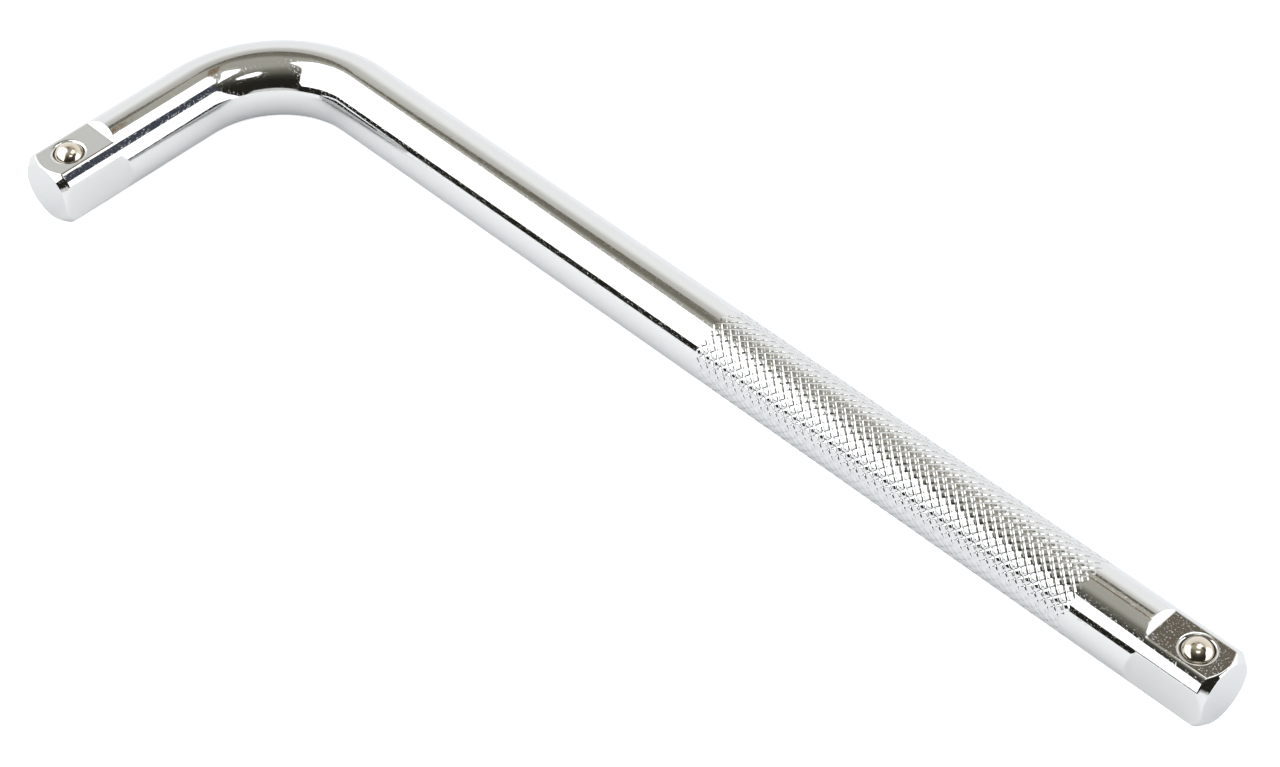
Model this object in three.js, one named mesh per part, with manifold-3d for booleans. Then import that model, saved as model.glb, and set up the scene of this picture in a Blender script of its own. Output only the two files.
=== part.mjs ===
// L-handle: a bent bar with a 12.7 mm square drive for sockets on both ends.
// Each drive has a spring-loaded detent ball in a pocket whose rim is staked over it.
//
// Millimetres. The short arm runs along +Y from the origin, which is the centre of its end face.
// The long arm runs along +X. Both detent balls face +Z.

import * as THREE from 'three';
import * as BufferGeometryUtils from 'three/addons/utils/BufferGeometryUtils.js';
import Module from 'manifold-3d';

// Bar
const OVERALL_LENGTH = 250;     // back of the short arm to the long drive's end face, along X
const OVERALL_WIDTH = 69;       // back of the long arm to the short drive's end face, along Y
const BAR_DIAMETER = 15.2;
const BEND_RADIUS = 24;         // of the bar's centreline
const END_CHAMFER = 0.8;        // turned, 45 degrees, on both ends

// Square drives
const ACROSS_FLATS = 12.7;
const FLAT_LENGTH = 14.3;       // end face to the foot of the shoulder
const SHOULDER_RUN = 1.3;       // along the arm, while the shoulder climbs from the flat to the round

// Detent balls and their pockets
const BALL_DIAMETER = 6.35;
const BALL_SETBACK = 6.5;       // end face to the ball's centre
const BALL_CLEARANCE = 0.12;    // around the ball, to the pocket's wall and its staked lip
const LIP_OVERHANG = 0.125;     // on radius, how far the staked lip closes in over the ball
const LIP_LAND = 0.1;           // thickness of the lip at its edge
const DISH_DEPTH = 0.3;         // flat to the lip's edge
const DISH_WIDTH = 0.75;        // the staked ring, from the lip out to the flat
const POCKET_FLOOR = 1.15;      // metal left between the drill point and the opposite flat
const DRILL_POINT_ANGLE = 118;  // degrees

// Detent springs
const WIRE_DIAMETER = 0.7;
const SPRING_MEAN_DIAMETER = 3.8;
const SPRING_PITCH = 1.17;      // from turn to turn
const SPRING_GAP = 0.3;         // to the ball above and the drill cone below

// Fineness of round shapes
const BAR_SIDES = 48;
const BEND_STEPS = 18;
const POCKET_SIDES = 48;
const LIP_STEPS = 4;
const BALL_SIDES = 28;
const BALL_RINGS = 18;
const WIRE_SIDES = 8;
const STEPS_PER_TURN = 14;

const CUT_MARGIN = 2;           // how far a cutting shape stands clear of the metal it removes

const barRadius = BAR_DIAMETER / 2;
const halfFlats = ACROSS_FLATS / 2;
const longAxisY = OVERALL_WIDTH - barRadius;
const longTipX = OVERALL_LENGTH - barRadius;
const shortStraight = longAxisY - BEND_RADIUS;
const longStraight = longTipX - BEND_RADIUS;
const bendLength = BEND_RADIUS * Math.PI / 2;
const barLength = shortStraight + bendLength + longStraight;

const ballRadius = BALL_DIAMETER / 2;
const pocketRadius = ballRadius + BALL_CLEARANCE;
const lipRadius = ballRadius - LIP_OVERHANG;
const lipTopZ = halfFlats - DISH_DEPTH;
const lipBottomZ = lipTopZ - LIP_LAND;
const ballZ = lipBottomZ - Math.sqrt(pocketRadius ** 2 - lipRadius ** 2);
const drillSlope = 1 / Math.tan(THREE.MathUtils.degToRad(DRILL_POINT_ANGLE / 2));
const pocketShoulderZ = -halfFlats + POCKET_FLOOR + pocketRadius * drillSlope;

const wireRadius = WIRE_DIAMETER / 2;
const coilRadius = SPRING_MEAN_DIAMETER / 2;
const springTopZ = ballZ - Math.sqrt((ballRadius + wireRadius + SPRING_GAP) ** 2 - coilRadius ** 2);
const coneUnderCoilZ = pocketShoulderZ - (pocketRadius - coilRadius) * drillSlope;
const springBottomZ = coneUnderCoilZ + (wireRadius + SPRING_GAP) * Math.hypot(1, drillSlope);
const springTurns = (springTopZ - springBottomZ) / SPRING_PITCH;

const wasm = await Module();
wasm.setup();

// A closed three.js geometry as a solid. Triangles that shrink to a line at a pole are dropped.
function solidFrom(geometry) {
  const bare = geometry.clone();
  bare.deleteAttribute('normal');
  bare.deleteAttribute('uv');
  const merged = BufferGeometryUtils.mergeVertices(bare, 1e-5);
  const index = merged.index.array;
  const triVerts = [];
  for (let i = 0; i < index.length; i += 3) {
    const [a, b, c] = [index[i], index[i + 1], index[i + 2]];
    if (a !== b && b !== c && c !== a) {
      triVerts.push(a, b, c);
    }
  }
  return new wasm.Manifold(new wasm.Mesh({
    numProp: 3,
    vertProperties: new Float32Array(merged.attributes.position.array),
    triVerts: new Uint32Array(triVerts),
  }));
}

function geometryFrom(solid) {
  const mesh = solid.getMesh();
  const geometry = new THREE.BufferGeometry();
  geometry.setAttribute('position', new THREE.BufferAttribute(mesh.vertProperties, 3));
  geometry.setIndex(new THREE.BufferAttribute(mesh.triVerts, 1));
  geometry.computeVertexNormals();
  return geometry;
}

// Where a point of the straight turned blank lies once the blank is bent.
// In: x is towards the inside of the bend, y along the blank, z up.
function bend(point) {
  const across = point.x;
  const along = point.y;
  if (along <= shortStraight) {
    return point;
  }
  if (along >= shortStraight + bendLength) {
    point.x = BEND_RADIUS + along - shortStraight - bendLength;
    point.y = longAxisY - across;
    return point;
  }
  const turned = (along - shortStraight) / BEND_RADIUS;
  point.x = BEND_RADIUS - (BEND_RADIUS - across) * Math.cos(turned);
  point.y = shortStraight + (BEND_RADIUS - across) * Math.sin(turned);
  return point;
}

// The turned blank with its end chamfers, bent through 90 degrees.
function bentBlank() {
  const profile = [
    new THREE.Vector2(0, 0),
    new THREE.Vector2(barRadius - END_CHAMFER, 0),
    new THREE.Vector2(barRadius, END_CHAMFER),
  ];
  for (let i = 0; i <= BEND_STEPS; i++) {
    profile.push(new THREE.Vector2(barRadius, shortStraight + bendLength * i / BEND_STEPS));
  }
  profile.push(new THREE.Vector2(barRadius, barLength - END_CHAMFER));
  profile.push(new THREE.Vector2(barRadius - END_CHAMFER, barLength));
  profile.push(new THREE.Vector2(0, barLength));
  const geometry = new THREE.LatheGeometry(profile, BAR_SIDES);
  const positions = geometry.attributes.position;
  const point = new THREE.Vector3();
  for (let i = 0; i < positions.count; i++) {
    bend(point.fromBufferAttribute(positions, i));
    positions.setXYZ(i, point.x, point.y, point.z);
  }
  return geometry;
}

// The metal above one flat of a drive, up its ramped shoulder. Drive frame: tip at the origin, +Y inwards.
function flatCutter(quarter) {
  const top = barRadius + CUT_MARGIN;
  const rampRate = SHOULDER_RUN / (barRadius - halfFlats);
  const outline = new THREE.Shape([
    new THREE.Vector2(-CUT_MARGIN, halfFlats),
    new THREE.Vector2(FLAT_LENGTH, halfFlats),
    new THREE.Vector2(FLAT_LENGTH + (top - halfFlats) * rampRate, top),
    new THREE.Vector2(-CUT_MARGIN, top),
  ]);
  const geometry = new THREE.ExtrudeGeometry(outline, { depth: 2 * top, bevelEnabled: false });
  geometry.translate(0, 0, -top);
  geometry.applyMatrix4(new THREE.Matrix4().makeBasis(
    new THREE.Vector3(0, 1, 0),
    new THREE.Vector3(0, 0, 1),
    new THREE.Vector3(1, 0, 0),
  ));
  geometry.rotateY(quarter * Math.PI / 2);
  return geometry;
}

// The pocket: drill cone, straight bore, the lip closed in over the ball, and the staked dish around it.
function pocketCutter() {
  const profile = [
    new THREE.Vector2(0, pocketShoulderZ - pocketRadius * drillSlope),
    new THREE.Vector2(pocketRadius, pocketShoulderZ),
  ];
  const lipAngle = Math.asin((lipBottomZ - ballZ) / pocketRadius);
  for (let i = 0; i <= LIP_STEPS; i++) {
    const angle = lipAngle * i / LIP_STEPS;
    profile.push(new THREE.Vector2(pocketRadius * Math.cos(angle), ballZ + pocketRadius * Math.sin(angle)));
  }
  const dishRate = DISH_WIDTH / DISH_DEPTH;
  profile.push(new THREE.Vector2(lipRadius, lipTopZ));
  profile.push(new THREE.Vector2(lipRadius + DISH_WIDTH + CUT_MARGIN * dishRate, halfFlats + CUT_MARGIN));
  profile.push(new THREE.Vector2(0, halfFlats + CUT_MARGIN));
  const geometry = new THREE.LatheGeometry(profile, POCKET_SIDES);
  geometry.rotateX(Math.PI / 2);
  geometry.translate(0, BALL_SETBACK, 0);
  return geometry;
}

// Both drives are alike: the long one is the short one turned a quarter turn and moved to its tip.
const drivePlaces = {
  short_drive: new THREE.Matrix4(),
  long_drive: new THREE.Matrix4().makeRotationZ(Math.PI / 2).setPosition(longTipX, longAxisY, 0),
};

function makeBar() {
  let bar = solidFrom(bentBlank());
  for (const place of Object.values(drivePlaces)) {
    const cutters = [0, 1, 2, 3].map(flatCutter);
    cutters.push(pocketCutter());
    for (const cutter of cutters) {
      bar = bar.subtract(solidFrom(cutter.applyMatrix4(place)));
    }
  }
  return geometryFrom(bar);
}

class Helix extends THREE.Curve {
  getPoint(t) {
    const angle = 2 * Math.PI * springTurns * t;
    const height = springBottomZ + (springTopZ - springBottomZ) * t;
    return new THREE.Vector3(coilRadius * Math.cos(angle), coilRadius * Math.sin(angle), height);
  }
}

function makeSpring() {
  const section = new THREE.Shape();
  for (let i = 0; i < WIRE_SIDES; i++) {
    const angle = 2 * Math.PI * i / WIRE_SIDES;
    const corner = [wireRadius * Math.cos(angle), wireRadius * Math.sin(angle)];
    if (i === 0) {
      section.moveTo(...corner);
    } else {
      section.lineTo(...corner);
    }
  }
  section.closePath();
  return new THREE.ExtrudeGeometry(section, {
    extrudePath: new Helix(),
    steps: Math.round(springTurns * STEPS_PER_TURN),
  });
}

function makeBall() {
  const geometry = new THREE.SphereGeometry(ballRadius, BALL_SIDES, BALL_RINGS);
  geometry.rotateX(Math.PI / 2);
  return geometry;
}

const chromePlate = new THREE.MeshStandardMaterial({ color: 0xd9dbde, roughness: 0.08, metalness: 1 });
const bearingSteel = new THREE.MeshStandardMaterial({ color: 0xc9c2b6, roughness: 0.12, metalness: 1 });
const springSteel = new THREE.MeshStandardMaterial({ color: 0x8f8d88, roughness: 0.35, metalness: 1 });

function named(name, geometry, material) {
  const mesh = new THREE.Mesh(geometry, material);
  mesh.name = name;
  return mesh;
}

const handle = new THREE.Group();
handle.add(named('bar', makeBar(), chromePlate));

for (const [drive, place] of Object.entries(drivePlaces)) {
  const group = new THREE.Group();
  group.applyMatrix4(place);
  const ball = named(`${drive}_ball`, makeBall(), bearingSteel);
  ball.position.set(0, BALL_SETBACK, ballZ);
  const spring = named(`${drive}_spring`, makeSpring(), springSteel);
  spring.position.set(0, BALL_SETBACK, 0);
  group.add(ball, spring);
  handle.add(group);
}

export default handle;
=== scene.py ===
"""Looks of the L-handle: a chromed bar with a knurled grip, detent balls, springs, and a plain studio."""

import math
from functools import partial
from itertools import product

import bpy
import numpy as np
from bpy.props import FloatProperty, FloatVectorProperty, IntProperty, PointerProperty, StringProperty
from mathutils import Matrix, Vector


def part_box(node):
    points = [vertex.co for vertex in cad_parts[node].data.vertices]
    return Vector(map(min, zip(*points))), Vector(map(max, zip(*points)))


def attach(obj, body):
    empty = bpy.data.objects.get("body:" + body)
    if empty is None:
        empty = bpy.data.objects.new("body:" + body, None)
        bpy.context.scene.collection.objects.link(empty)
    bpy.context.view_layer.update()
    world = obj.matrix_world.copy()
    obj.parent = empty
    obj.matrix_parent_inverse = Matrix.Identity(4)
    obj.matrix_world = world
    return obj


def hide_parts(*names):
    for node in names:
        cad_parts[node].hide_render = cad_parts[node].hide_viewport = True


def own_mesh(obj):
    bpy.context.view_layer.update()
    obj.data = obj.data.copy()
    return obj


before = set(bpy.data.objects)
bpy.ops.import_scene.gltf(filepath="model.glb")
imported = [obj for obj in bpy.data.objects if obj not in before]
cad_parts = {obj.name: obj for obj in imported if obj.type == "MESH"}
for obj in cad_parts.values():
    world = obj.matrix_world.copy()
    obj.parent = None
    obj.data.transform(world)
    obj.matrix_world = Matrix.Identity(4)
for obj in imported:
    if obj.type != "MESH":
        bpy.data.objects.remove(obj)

bl_info = {
    "name": "L-handle looks",
    "version": (1, 0, 0),
    "blender": (4, 5, 0),
    "location": "3D View > Sidebar > L-handle",
    "description": "Builds the visible pieces of a chromed L-handle around its packed solids",
    "category": "Add Mesh",
}

MM = 0.001

BODY = "handle"
# Each drive's ball rides on a body of its own and presses in by a joint.
DRIVES = {
    "short_drive": ("short_ball", "short_ball_press"),
    "long_drive": ("long_ball", "long_ball_press"),
}

# Places that the solids give
BAR_LOW, BAR_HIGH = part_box("bar")
BAR_RADIUS = BAR_HIGH.z
LONG_AXIS_Y = BAR_HIGH.y - BAR_RADIUS
LONG_TIP_X = BAR_HIGH.x
FLOOR_Z = BAR_LOW.z

# Top of the bend, from where the studio is laid out
BEND_MIDDLE = (0.010, 0.050)

# Shape of details that no setting holds
SHOULDER_HOLLOW = 1.35  # power of the shoulder's climb: above 1 is hollow
DISH_HOLLOW = 2.6       # power of the staked dish's curve: above 1 is hollow
DISH_MARKS = 4          # rings that the staking punch turned into the dish
MARK_DEPTH = 0.003 * MM
LIP_ROUNDING = 0.06 * MM
LIP_SHARE = 0.14        # share of a groove's depth that a diamond's soft edge takes

# Faces around and along the shapes
EDGE_RINGS = 6          # over the rounded edge of an end face
CONE_RINGS = 30
SHOULDER_RINGS = 17
BEND_RINGS = 73
SKIN_STEP = 3.0         # degrees between samples around the bar
DISH_STEPS = 30
BORE_STEPS = 12         # over the bore's dome above the ball's middle
CUTTER_SIDES = 128
BALL_STEPS = 40         # along each edge of the cube that a ball is blown up from
COIL_STEPS = 48         # for each turn
WIRE_SIDES = 20

# Where rings lie, and how close two diamonds' points have to be to become one
TIP_RINGS = (4 * MM, 9 * MM)  # from a tip
SHOULDER_LEAD = 0.6 * MM      # from the ring before a shoulder to its foot
SHOULDER_REACH = 1.6          # how far a shoulder's rings go, in shoulder runs
KNURL_GAP = 0.7 * MM          # from the knurl to the plain bar's rings
MERGE = 0.004 * MM

# How close to the pocket's rim, to the ball's flat and to the flat below a point counts as on it
RIM_MARGIN = 0.01 * MM
FLAT_MARGIN = 0.002 * MM
UNDERSIDE_MARGIN = 0.1 * MM


def ball_place(drive):
    """Centre and radius of a drive's detent ball."""
    low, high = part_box(f"{drive}_ball")
    return (low + high) / 2, (high.z - low.z) / 2


def spring_place(drive):
    """Lowest and highest point of a drive's spring."""
    low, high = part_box(f"{drive}_spring")
    return low.z, high.z


# -------- settings


def length(name, default_mm, description):
    """A length setting, given in millimetres and held in metres."""
    return FloatProperty(name=name, default=default_mm * MM, description=description,
                         unit="LENGTH", precision=5)


def degrees(name, default, description):
    """An angle setting, given in degrees and held in radians."""
    return FloatProperty(name=name, default=math.radians(default), subtype="ANGLE", description=description)


def colour(name, default_hex, description):
    """A colour setting, given as an sRGB hex value."""
    return StringProperty(name=name, default=default_hex, description=description)


class BarSettings(bpy.types.PropertyGroup):
    """The forged bar and its two square drives."""

    bend_radius: length("Bend radius", 24, "Radius of the bend, on the bar's centreline")
    across_flats: length("Across flats", 12.7, "Size of the square drives")
    flat_length: length("Flat length", 14.3, "From a tip to the foot of its shoulder")
    shoulder_run: length("Shoulder run", 1.3, "Length along the arm in which a shoulder climbs to the round")
    end_chamfer: length("End chamfer", 1.45, "45 degree cone turned on each tip before its flats are cut")
    chamfer_rounding: length("Chamfer rounding", 0.2, "Radius that polishing leaves on the chamfer's edges")
    edge_rounding: length("Edge rounding", 0.16, "How far polishing softens the edge of a flat")


class PocketSettings(bpy.types.PropertyGroup):
    """The drilled pocket of a detent ball and the staked ring around its mouth."""

    dish_depth: length("Dish depth", 0.3, "From the flat down to the staked lip")
    dish_width: length("Dish width", 0.75, "From the staked lip out to the flat")
    lip_overhang: length("Lip overhang", 0.125, "How far the staked lip closes in over the ball")
    lip_land: length("Lip land", 0.1, "Thickness of the lip at its edge")
    ball_clearance: length("Ball clearance", 0.12, "Play around the ball in its pocket")
    floor_left: length("Floor left", 1.15, "Metal between the drill point and the opposite flat")
    drill_angle: degrees("Drill point", 118, "Angle of the drill's point")


class KnurlSettings(bpy.types.PropertyGroup):
    """The rolled diamond knurl on the long arm."""

    start: length("Start", 124, "Where the knurl starts, from the short arm's axis")
    end: length("End", 214, "Where the knurl ends, from the short arm's axis")
    starts: IntProperty(name="Starts", default=24, min=6, description="Grooves of each hand around the bar")
    period: length("Period", 2.2, "Length of one diamond along the bar")
    depth: length("Depth", 0.2, "Depth of the grooves")
    groove: length("Groove width", 0.56, "Width of a groove across its top")
    crest_rounding: length("Crest rounding", 0.16, "Width of the soft edge around a diamond's top")
    wander: FloatProperty(name="Wander", default=0.3, description="Share by which the grooves' depth varies")
    fade: length("Fade", 1.6, "Length in which the grooves run out at each end")


class SpringSettings(bpy.types.PropertyGroup):
    """The compression spring under a detent ball."""

    wire: length("Wire", 0.7, "Diameter of the wire")
    mean_diameter: length("Mean diameter", 3.8, "Diameter of the coil, from wire centre to wire centre")
    turns: FloatProperty(name="Turns", default=4.4, description="Turns with the two closed end turns")
    travel: length("Travel", 1.5, "How far the ball presses into its pocket")


class FinishSettings(bpy.types.PropertyGroup):
    """Colours of the finishes, as sRGB hex values."""

    chrome: colour("Chrome plate", "#C5C6C6", "Reflection of bright chrome plate")
    chrome_edge: colour("Chrome edge", "#EBECEE", "Tint of the plate's reflection at a grazing view")
    groove: colour("Groove", "#C6C8CA", "Reflection of the plate at the foot of the knurl's grooves")
    bearing_steel: colour("Bearing steel", "#BEB5A7", "Reflection of the polished, unplated balls")
    spring_steel: colour("Spring steel", "#8A877F", "Reflection of the oiled wire")
    floor: colour("Floor", "#F2F3F4", "Opal acrylic table")


class StudioSettings(bpy.types.PropertyGroup):
    """The camera and the light around the bar."""

    focal_length: FloatProperty(name="Focal length", default=94.185, description="Lens, in mm")
    aim: FloatVectorProperty(name="Aim", default=(0.120316, 0.044111, 0.0), subtype="TRANSLATION",
                             description="Point on the bar's axis plane that the camera looks at")
    distance: length("Distance", 616.487, "From the aim to the camera")
    azimuth: degrees("Azimuth", 46.238, "Camera's direction, from -Y towards +X")
    elevation: degrees("Elevation", 46.021, "Camera's height above the horizon")
    roll: degrees("Roll", -1.543, "Turn of the camera about its own axis")
    floor_size: FloatProperty(name="Floor size", default=12.0, unit="LENGTH", description="Side of the floor")
    fill: FloatProperty(name="Fill", default=1.62, description="Even light that falls on the floor")
    floor_glow: FloatProperty(name="Floor glow", default=0.75, description="Light up through the table")


SETTINGS = {
    "lh_bar": BarSettings,
    "lh_pocket": PocketSettings,
    "lh_knurl": KnurlSettings,
    "lh_spring": SpringSettings,
    "lh_finish": FinishSettings,
    "lh_studio": StudioSettings,
}


# -------- small helpers


def linear(hex_colour):
    """Linear RGBA of an sRGB hex colour."""
    def channel(value):
        return value / 12.92 if value <= 0.04045 else ((value + 0.055) / 1.055) ** 2.4

    digits = hex_colour.lstrip("#")
    return tuple(channel(int(digits[i:i + 2], 16) / 255) for i in (0, 2, 4)) + (1.0,)


def add_node(tree, kind, *values, **named):
    """Adds a node. Values go to its inputs in order, a name with a capital is an input, any other a property.

    A node given for an input is linked by its first output. Stops fill the node's colour ramp.
    """
    node = tree.nodes.new(kind)
    for name, value in named.items():
        if name == "stops":
            elements = node.color_ramp.elements
            while len(elements) < len(value):
                elements.new(0.5)
            for element, (position, hex_colour) in zip(elements, value):
                element.position = position
                element.color = linear(hex_colour)
        elif name[0].islower():
            setattr(node, name, value)
    sockets = [socket for socket in node.inputs if socket.enabled]
    given = list(zip(sockets, values))
    for name, value in named.items():
        if name[0].isupper():
            label = name.replace("_", " ")
            given.append((next(socket for socket in sockets if socket.name == label), value))
    for socket, value in given:
        if isinstance(value, bpy.types.Node):
            value = next(output for output in value.outputs if output.enabled)
        if isinstance(value, bpy.types.NodeSocket):
            tree.links.new(value, socket)
        else:
            socket.default_value = value
    return node


def link_object(name, mesh):
    """Puts a finished mesh in the scene as an object at the origin."""
    piece = bpy.data.objects.new(name, mesh)
    bpy.context.scene.collection.objects.link(piece)
    return piece


def mesh_from(name, points, faces):
    """A smooth-shaded mesh from point rows and lists of corner numbers."""
    mesh = bpy.data.meshes.new(name)
    mesh.from_pydata([tuple(p) for p in points], [], [tuple(int(i) for i in face) for face in faces])
    mesh.shade_smooth()
    return mesh


def read(items, field, width=1, kind=float):
    """A field of each vertex, edge or corner, as an array with one row for each."""
    values = np.empty(len(items) * width, kind)
    items.foreach_get(field, values)
    return values.reshape(-1, width) if width > 1 else values


def store(mesh, name, kind, values):
    """Keeps a value for each vertex under a name."""
    field = "vector" if kind == "FLOAT_VECTOR" else "value"
    mesh.attributes.new(name, kind, "POINT").data.foreach_set(field, np.ravel(values))


def bake_modifiers(piece):
    """The piece's evaluated shape as a plain mesh, with its modifiers taken away."""
    bpy.context.view_layer.update()
    evaluated = piece.evaluated_get(bpy.context.evaluated_depsgraph_get())
    mesh = bpy.data.meshes.new_from_object(evaluated)
    piece.modifiers.clear()
    return mesh


def geometry_tree(name, sizes):
    """A Geometry Nodes tree with one geometry input and one named input for each size."""
    tree = bpy.data.node_groups.new(name, "GeometryNodeTree")
    tree.interface.new_socket("Geometry", in_out="INPUT", socket_type="NodeSocketGeometry")
    for size, value in sizes.items():
        kind = "NodeSocketInt" if isinstance(value, int) else "NodeSocketFloat"
        tree.interface.new_socket(size, in_out="INPUT", socket_type=kind)
    tree.interface.new_socket("Geometry", in_out="OUTPUT", socket_type="NodeSocketGeometry")
    return tree


def grow(name, tree, sizes):
    """The plain mesh that a Geometry Nodes tree makes from the given sizes."""
    seed = link_object(name, bpy.data.meshes.new(name))
    modifier = seed.modifiers.new(tree.name, "NODES")
    modifier.node_group = tree
    for socket in tree.interface.items_tree:
        if socket.in_out == "INPUT" and socket.name in sizes:
            modifier[socket.identifier] = sizes[socket.name]
    mesh = bake_modifiers(seed)
    bpy.data.objects.remove(seed)
    if not mesh.polygons:
        raise RuntimeError(f"{name}: the node tree made no faces")
    return mesh


def finish_piece(piece, material, body, node):
    """Gives a piece its material and its body, and hides the solid that it stands for."""
    piece.data.materials.clear()
    piece.data.materials.append(material)
    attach(piece, body)
    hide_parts(node)


# -------- materials


def new_material(name):
    """An empty material, and the call that adds a node to it."""
    material = bpy.data.materials.new(name)
    material.use_nodes = True
    material.node_tree.nodes.clear()
    return material, partial(add_node, material.node_tree)


def new_surface(name):
    """An empty material, the call that adds a node to it, and coordinates that stay with the piece."""
    material, add = new_material(name)
    return material, add, add("ShaderNodeTexCoord").outputs["Object"]


def grain(size_mm):
    """Scale at which a noise's blotches measure size_mm across."""
    return 1 / (size_mm * MM)


def chrome_plate(finish):
    """Bright chromium over nickel on polished forged steel.

    The eye sees a hard mirror that bends slightly, from the orange peel the polishing leaves under the plate,
    with fine pits that glitter in the dark reflections and a faint haze where hands have rubbed it.
    """
    material, add, place = new_surface("bright_chrome_plate")
    rubbed = add("ShaderNodeTexNoise", Vector=place, Scale=grain(9.0), Detail=3.0)
    haze = add("ShaderNodeMapRange", rubbed, 0.35, 0.7, 0.025, 0.07)
    # Orange peel: waves of 2.2 mm, a few micrometres deep.
    waves = add("ShaderNodeTexNoise", Vector=place, Scale=grain(2.2), Detail=1.0)
    peel = add("ShaderNodeBump", Height=waves, Distance=0.006 * MM)
    # Pits are about 0.05 mm in real plate. They are drawn 0.16 mm across so that they show.
    specks = add("ShaderNodeTexNoise", Vector=place, Scale=grain(0.32), Detail=1.0)
    pits = add("ShaderNodeMapRange", specks, 0.63, 0.75, 0.0, -1.0)
    pitted = add("ShaderNodeBump", Height=pits, Distance=0.006 * MM, Normal=peel)
    # The plate is thin and dull at the foot of the knurl's grooves, where the buffing wheel does not reach.
    groove = add("ShaderNodeAttribute", attribute_name="groove_depth").outputs["Fac"]
    unbuffed = add("ShaderNodeMapRange", groove, 0.25, 0.9, 0.0, 1.0)
    tone = add("ShaderNodeMix", unbuffed, linear(finish.chrome), linear(finish.groove),
               data_type="RGBA")
    dull = add("ShaderNodeMath", unbuffed, 0.12, haze, operation="MULTIPLY_ADD")
    # Chromium gains little brightness towards a grazing view, less than the shader's metal does by itself.
    plate = add("ShaderNodeBsdfPrincipled", Base_Color=tone, Metallic=1.0, Roughness=dull,
                Specular_Tint=linear(finish.chrome_edge), Normal=pitted)
    add("ShaderNodeOutputMaterial", Surface=plate)
    return material


def bearing_steel(finish):
    """Hardened and lapped steel ball, not plated.

    The eye sees a warm, slightly yellow mirror with a thin oil haze, darker and softer than the plate.
    """
    material, add, place = new_surface("lapped_bearing_steel")
    film = add("ShaderNodeTexNoise", Vector=place, Scale=grain(1.1), Detail=3.0)
    haze = add("ShaderNodeMapRange", film, 0.3, 0.7, 0.1, 0.18)
    scuffs = add("ShaderNodeTexNoise", Vector=place, Scale=grain(0.35))
    scuffed = add("ShaderNodeBump", Height=scuffs, Distance=0.0008 * MM)
    steel = add("ShaderNodeBsdfPrincipled", Base_Color=linear(finish.bearing_steel), Metallic=1.0,
                Roughness=haze, Normal=scuffed)
    add("ShaderNodeOutputMaterial", Surface=steel)
    return material


def spring_steel(finish):
    """Drawn carbon-steel wire, coiled and oiled.

    The eye sees dark grey metal with a dull sheen, blotched by the oil and scratched by the drawing die.
    """
    material, add, place = new_surface("oiled_spring_wire")
    light = linear(finish.spring_steel)
    dark = (*(0.6 * channel for channel in light[:3]), 1.0)
    oil = add("ShaderNodeTexNoise", Vector=place, Scale=grain(0.8), Detail=3.0)
    tone = add("ShaderNodeMix", oil, dark, light, data_type="RGBA")
    scratches = add("ShaderNodeTexNoise", Vector=place, Scale=grain(0.12))
    scratched = add("ShaderNodeBump", Height=scratches, Distance=0.004 * MM)
    wire = add("ShaderNodeBsdfPrincipled", Base_Color=tone, Metallic=1.0, Roughness=0.34,
               Normal=scratched)
    add("ShaderNodeOutputMaterial", Surface=wire)
    return material


def light_table(finish, strength):
    """Opal acrylic table, lit from below as well as from above.

    The eye sees an even pale ground, because the light from below washes out the shadows. The chrome reflects
    the table at its true, lower brightness, with the darkening where the bar rests on it.
    """
    material, add, place = new_surface("opal_acrylic_table")
    milky = linear(finish.floor)
    cloud = add("ShaderNodeTexNoise", Vector=place, Scale=grain(0.6))
    cast = add("ShaderNodeBump", Height=cloud, Distance=0.004 * MM)
    direct = add("ShaderNodeLightPath").outputs["Is Camera Ray"]
    light = add("ShaderNodeMapRange", direct, 0.0, 1.0, 0.1 * strength, strength)
    acrylic = add("ShaderNodeBsdfPrincipled", Base_Color=milky, Roughness=0.8, Specular_IOR_Level=0.1,
                  Emission_Color=milky, Emission_Strength=light, Normal=cast)
    add("ShaderNodeOutputMaterial", Surface=acrylic)
    return material


# -------- the bar's surface


def straight_lengths(bar):
    """Straight part of the short arm, the bend along its centreline, and straight part of the long arm."""
    short = LONG_AXIS_Y - bar.bend_radius
    return short, bar.bend_radius * math.pi / 2, LONG_TIP_X - bar.bend_radius


def centreline(bar, along):
    """Points, and directions to the outside of the bend, at distances along the bar from the short tip."""
    short, bend, _ = straight_lengths(bar)
    turned = np.clip((along - short) / bar.bend_radius, 0, math.pi / 2)
    before = np.minimum(along - short, 0)
    after = np.maximum(along - short - bend, 0)
    outward = np.stack([-np.cos(turned), np.sin(turned), np.zeros_like(turned)], -1)
    x = bar.bend_radius * (1 - np.cos(turned)) + after
    y = short + bar.bend_radius * np.sin(turned) + before
    return np.stack([x, y, np.zeros_like(x)], -1), outward


def soft_min(a, b, blend):
    """The smaller of two sizes, rounded where they meet."""
    overlap = np.maximum(blend - np.abs(a - b), 0) / blend
    return np.minimum(a, b) - overlap ** 2 * blend / 4


def half_flats(bar, along):
    """Half the width between flats: the drive, its hollow shoulder, and more than the round bar beyond."""
    total = sum(straight_lengths(bar))
    from_tip = np.minimum(along, total - along)
    climb = np.maximum(from_tip - bar.flat_length, 0) / bar.shoulder_run
    half = bar.across_flats / 2
    return half + (BAR_RADIUS - half) * np.minimum(climb ** SHOULDER_HOLLOW, 4)


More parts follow.
